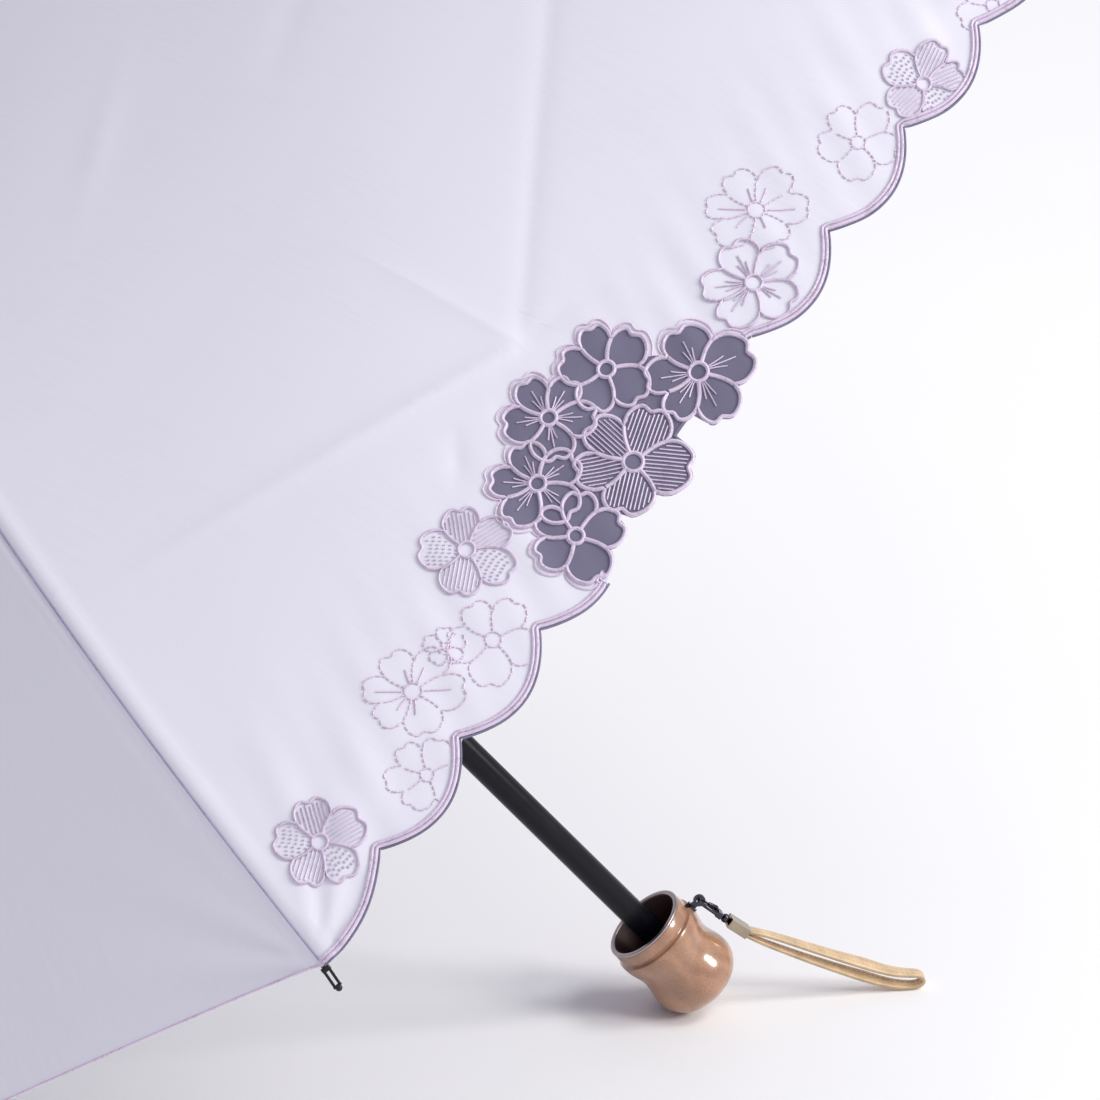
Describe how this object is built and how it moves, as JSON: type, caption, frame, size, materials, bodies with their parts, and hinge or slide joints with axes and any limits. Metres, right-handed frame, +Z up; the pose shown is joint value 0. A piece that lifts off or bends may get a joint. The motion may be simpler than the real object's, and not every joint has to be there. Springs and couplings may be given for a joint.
{
  "type": "folding parasol",
  "caption": "Open folding sun parasol with embroidered and plain cloth panels, telescoping shaft, wooden cup handle and wrist strap.",
  "frame": {"origin": "centre of the bounding box on the floor; the open parasol lies on two rib tips and its handle", "axes": "+Z up, +Y across the parasol from side rib tip to side rib tip, handle towards +X"},
  "size_m": [0.6594, 0.9936, 0.5858],
  "materials": {
    "burl_wood": "glossy lacquer",
    "ring_metal": "satin",
    "gunmetal": "polished",
    "gold_metal": "satin",
    "strap_leather": "smooth",
    "embroidered_cloth": "taffeta with pink satin stitch",
    "plain_cloth": "taffeta",
    "black_plastic": "moulded",
    "black_steel": "satin black"
  },
  "bodies": {
    "handle": {"handle_cup": "burl_wood", "mouth_ring": "ring_metal", "handle_plug": "black_plastic", "handle_screw": "gunmetal", "strap_stud": "gunmetal", "bottom_tube": "black_steel"},
    "middle_shaft": {"middle_tube": "black_steel"},
    "crown_frame": {"top_tube": "black_steel", "crown": "black_plastic", "crown_pins": "gunmetal", "top_cap": "plain_cloth", "ferrule": "black_steel", "canopy_1": "embroidered_cloth", "canopy_2": "plain_cloth", "canopy_3": "embroidered_cloth", "canopy_4": "plain_cloth", "canopy_5": "embroidered_cloth", "canopy_6": "plain_cloth"},
    "runner_hub": {"runner": "black_plastic", "runner_pins": "gunmetal", "runner_collar": "black_plastic"},
    "catch_runner": {"runner_catch": "gunmetal"},
    "catch_upper": {"upper_catch": "gunmetal"},
    "catch_lower": {"lower_catch": "gunmetal"},
    "hook": {"strap_hook": "gunmetal"},
    "strap": {"strap_swivel": "gunmetal", "strap_crimp": "gold_metal", "wrist_strap": "strap_leather"},
    "inner_1": {"rib_inner_1": "black_steel"},
    "middle_1": {"rib_middle_1": "black_steel"},
    "outer_1": {"rib_outer_1": "black_steel", "rib_tip_1": "black_steel"},
    "strut_1": {"stretcher_1": "black_steel"},
    "inner_2": {"rib_inner_2": "black_steel"},
    "middle_2": {"rib_middle_2": "black_steel"},
    "outer_2": {"rib_outer_2": "black_steel", "rib_tip_2": "black_steel"},
    "strut_2": {"stretcher_2": "black_steel"},
    "inner_3": {"rib_inner_3": "black_steel"},
    "middle_3": {"rib_middle_3": "black_steel"},
    "outer_3": {"rib_outer_3": "black_steel", "rib_tip_3": "black_steel"},
    "strut_3": {"stretcher_3": "black_steel"},
    "inner_4": {"rib_inner_4": "black_steel"},
    "middle_4": {"rib_middle_4": "black_steel"},
    "outer_4": {"rib_outer_4": "black_steel", "rib_tip_4": "black_steel"},
    "strut_4": {"stretcher_4": "black_steel"},
    "inner_5": {"rib_inner_5": "black_steel"},
    "middle_5": {"rib_middle_5": "black_steel"},
    "outer_5": {"rib_outer_5": "black_steel", "rib_tip_5": "black_steel"},
    "strut_5": {"stretcher_5": "black_steel"},
    "inner_6": {"rib_inner_6": "black_steel"},
    "middle_6": {"rib_middle_6": "black_steel"},
    "outer_6": {"rib_outer_6": "black_steel", "rib_tip_6": "black_steel"},
    "strut_6": {"stretcher_6": "black_steel"}
  },
  "joints": [
    {"name": "lower_shaft_slide", "type": "slide", "parent": "handle", "child": "middle_shaft", "axis": [-0.6505, 0, 0.7595], "range_m": [-0.172, 0], "deforming": ["lower_catch"]},
    {"name": "upper_shaft_slide", "type": "slide", "parent": "middle_shaft", "child": "crown_frame", "axis": [-0.6505, 0, 0.7595], "range_m": [-0.166, 0], "deforming": ["upper_catch"]},
    {"name": "canopy_fold", "type": "slide", "parent": "crown_frame", "child": "runner_hub", "axis": [-0.6505, 0, 0.7595], "range_m": [-0.11595, 0], "deforming": ["canopy_1", "canopy_2", "canopy_3", "canopy_4", "canopy_5", "canopy_6", "runner_catch"]},
    {"name": "runner_catch_press", "type": "slide", "parent": "crown_frame", "child": "catch_runner", "axis": [0.7595, 0, 0.6505], "range_m": [-0.0015, 0], "stiffness_N_per_m": 400},
    {"name": "upper_catch_press", "type": "slide", "parent": "crown_frame", "child": "catch_upper", "axis": [0.7595, 0, 0.6505], "range_m": [-0.0015, 0], "stiffness_N_per_m": 400},
    {"name": "lower_catch_press", "type": "slide", "parent": "middle_shaft", "child": "catch_lower", "axis": [0.7595, 0, 0.6505], "range_m": [-0.0015, 0], "stiffness_N_per_m": 400},
    {"name": "inner_rib_1", "type": "hinge", "parent": "crown_frame", "child": "inner_1", "pos_m": [-0.15441, 0.0045, 0.47273], "axis": [-0.3798, 0.866, -0.3252], "range_deg": [0, 79.84]},
    {"name": "middle_rib_1", "type": "hinge", "parent": "inner_1", "child": "middle_1", "pos_m": [-0.01846, 0.09329, 0.55041], "axis": [-0.3798, 0.866, -0.3252], "range_deg": [-195.98, 0]},
    {"name": "outer_rib_1", "type": "hinge", "parent": "middle_1", "child": "outer_1", "pos_m": [0.1583, 0.18199, 0.5802], "axis": [-0.3798, 0.866, -0.3252], "range_deg": [0, 161.36]},
    {"name": "stretcher_1", "type": "hinge", "parent": "runner_hub", "child": "strut_1", "pos_m": [-0.10234, 0.0045, 0.41193], "axis": [-0.3798, 0.866, -0.3252], "range_deg": [-53.33, 0]},
    {"name": "inner_rib_2", "type": "hinge", "parent": "crown_frame", "child": "inner_2", "pos_m": [-0.16033, 0.009, 0.46766], "axis": [-0.7595, 0, -0.6505], "range_deg": [0, 79.84]},
    {"name": "middle_rib_2", "type": "hinge", "parent": "inner_2", "child": "middle_2", "pos_m": [-0.14118, 0.18657, 0.4453], "axis": [-0.7595, 0, -0.6505], "range_deg": [-195.98, 0]},
    {"name": "outer_rib_2", "type": "hinge", "parent": "middle_2", "child": "outer_2", "pos_m": [-0.08111, 0.36398, 0.37516], "axis": [-0.7595, 0, -0.6505], "range_deg": [0, 161.36]},
    {"name": "stretcher_2", "type": "hinge", "parent": "runner_hub", "child": "strut_2", "pos_m": [-0.10826, 0.009, 0.40686], "axis": [-0.7595, 0, -0.6505], "range_deg": [-53.33, 0]},
    {"name": "inner_rib_3", "type": "hinge", "parent": "crown_frame", "child": "inner_3", "pos_m": [-0.16625, 0.0045, 0.46259], "axis": [-0.3798, -0.866, -0.3252], "range_deg": [0, 79.84]},
    {"name": "middle_rib_3", "type": "hinge", "parent": "inner_3", "child": "middle_3", "pos_m": [-0.2639, 0.09329, 0.34019], "axis": [-0.3798, -0.866, -0.3252], "range_deg": [-195.98, 0]},
    {"name": "outer_rib_3", "type": "hinge", "parent": "middle_3", "child": "outer_3", "pos_m": [-0.32052, 0.18199, 0.17012], "axis": [-0.3798, -0.866, -0.3252], "range_deg": [0, 161.36]},
    {"name": "stretcher_3", "type": "hinge", "parent": "runner_hub", "child": "strut_3", "pos_m": [-0.11418, 0.0045, 0.40179], "axis": [-0.3798, -0.866, -0.3252], "range_deg": [-53.33, 0]},
    {"name": "inner_rib_4", "type": "hinge", "parent": "crown_frame", "child": "inner_4", "pos_m": [-0.16625, -0.0045, 0.46259], "axis": [0.3798, -0.866, 0.3252], "range_deg": [0, 79.84]},
    {"name": "middle_rib_4", "type": "hinge", "parent": "inner_4", "child": "middle_4", "pos_m": [-0.2639, -0.09329, 0.34019], "axis": [0.3798, -0.866, 0.3252], "range_deg": [-195.98, 0]},
    {"name": "outer_rib_4", "type": "hinge", "parent": "middle_4", "child": "outer_4", "pos_m": [-0.32052, -0.18199, 0.17012], "axis": [0.3798, -0.866, 0.3252], "range_deg": [0, 161.36]},
    {"name": "stretcher_4", "type": "hinge", "parent": "runner_hub", "child": "strut_4", "pos_m": [-0.11418, -0.0045, 0.40179], "axis": [0.3798, -0.866, 0.3252], "range_deg": [-53.33, 0]},
    {"name": "inner_rib_5", "type": "hinge", "parent": "crown_frame", "child": "inner_5", "pos_m": [-0.16033, -0.009, 0.46766], "axis": [0.7595, 0, 0.6505], "range_deg": [0, 79.84]},
    {"name": "middle_rib_5", "type": "hinge", "parent": "inner_5", "child": "middle_5", "pos_m": [-0.14118, -0.18657, 0.4453], "axis": [0.7595, 0, 0.6505], "range_deg": [-195.98, 0]},
    {"name": "outer_rib_5", "type": "hinge", "parent": "middle_5", "child": "outer_5", "pos_m": [-0.08111, -0.36398, 0.37516], "axis": [0.7595, 0, 0.6505], "range_deg": [0, 161.36]},
    {"name": "stretcher_5", "type": "hinge", "parent": "runner_hub", "child": "strut_5", "pos_m": [-0.10826, -0.009, 0.40686], "axis": [0.7595, 0, 0.6505], "range_deg": [-53.33, 0]},
    {"name": "inner_rib_6", "type": "hinge", "parent": "crown_frame", "child": "inner_6", "pos_m": [-0.15441, -0.0045, 0.47273], "axis": [0.3798, 0.866, 0.3252], "range_deg": [0, 79.84]},
    {"name": "middle_rib_6", "type": "hinge", "parent": "inner_6", "child": "middle_6", "pos_m": [-0.01846, -0.09329, 0.55041], "axis": [0.3798, 0.866, 0.3252], "range_deg": [-195.98, 0]},
    {"name": "outer_rib_6", "type": "hinge", "parent": "middle_6", "child": "outer_6", "pos_m": [0.1583, -0.18199, 0.5802], "axis": [0.3798, 0.866, 0.3252], "range_deg": [0, 161.36]},
    {"name": "stretcher_6", "type": "hinge", "parent": "runner_hub", "child": "strut_6", "pos_m": [-0.10234, -0.0045, 0.41193], "axis": [0.3798, 0.866, 0.3252], "range_deg": [-53.33, 0]},
    {"name": "hook_swing", "type": "hinge", "parent": "handle", "child": "hook", "pos_m": [0.22876, 0, 0.05025], "axis": [0, 1, 0], "range_deg": [-110, 0]},
    {"name": "swivel_spin", "type": "hinge", "parent": "hook", "child": "strap", "pos_m": [0.24008, 0, 0.04071], "axis": [0.7647, 0, -0.6444], "continuous": true}
  ],
  "couplings": [
    {"joint": "inner_rib_1", "follows": "canopy_fold", "rad_per_m": -12.016},
    {"joint": "middle_rib_1", "follows": "canopy_fold", "rad_per_m": 29.499},
    {"joint": "outer_rib_1", "follows": "canopy_fold", "rad_per_m": -24.288},
    {"joint": "stretcher_1", "follows": "canopy_fold", "rad_per_m": 8.0264},
    {"joint": "inner_rib_2", "follows": "canopy_fold", "rad_per_m": -12.016},
    {"joint": "middle_rib_2", "follows": "canopy_fold", "rad_per_m": 29.499},
    {"joint": "outer_rib_2", "follows": "canopy_fold", "rad_per_m": -24.288},
    {"joint": "stretcher_2", "follows": "canopy_fold", "rad_per_m": 8.0264},
    {"joint": "inner_rib_3", "follows": "canopy_fold", "rad_per_m": -12.016},
    {"joint": "middle_rib_3", "follows": "canopy_fold", "rad_per_m": 29.499},
    {"joint": "outer_rib_3", "follows": "canopy_fold", "rad_per_m": -24.288},
    {"joint": "stretcher_3", "follows": "canopy_fold", "rad_per_m": 8.0264},
    {"joint": "inner_rib_4", "follows": "canopy_fold", "rad_per_m": -12.016},
    {"joint": "middle_rib_4", "follows": "canopy_fold", "rad_per_m": 29.499},
    {"joint": "outer_rib_4", "follows": "canopy_fold", "rad_per_m": -24.288},
    {"joint": "stretcher_4", "follows": "canopy_fold", "rad_per_m": 8.0264},
    {"joint": "inner_rib_5", "follows": "canopy_fold", "rad_per_m": -12.016},
    {"joint": "middle_rib_5", "follows": "canopy_fold", "rad_per_m": 29.499},
    {"joint": "outer_rib_5", "follows": "canopy_fold", "rad_per_m": -24.288},
    {"joint": "stretcher_5", "follows": "canopy_fold", "rad_per_m": 8.0264},
    {"joint": "inner_rib_6", "follows": "canopy_fold", "rad_per_m": -12.016},
    {"joint": "middle_rib_6", "follows": "canopy_fold", "rad_per_m": 29.499},
    {"joint": "outer_rib_6", "follows": "canopy_fold", "rad_per_m": -24.288},
    {"joint": "stretcher_6", "follows": "canopy_fold", "rad_per_m": 8.0264}
  ]
}
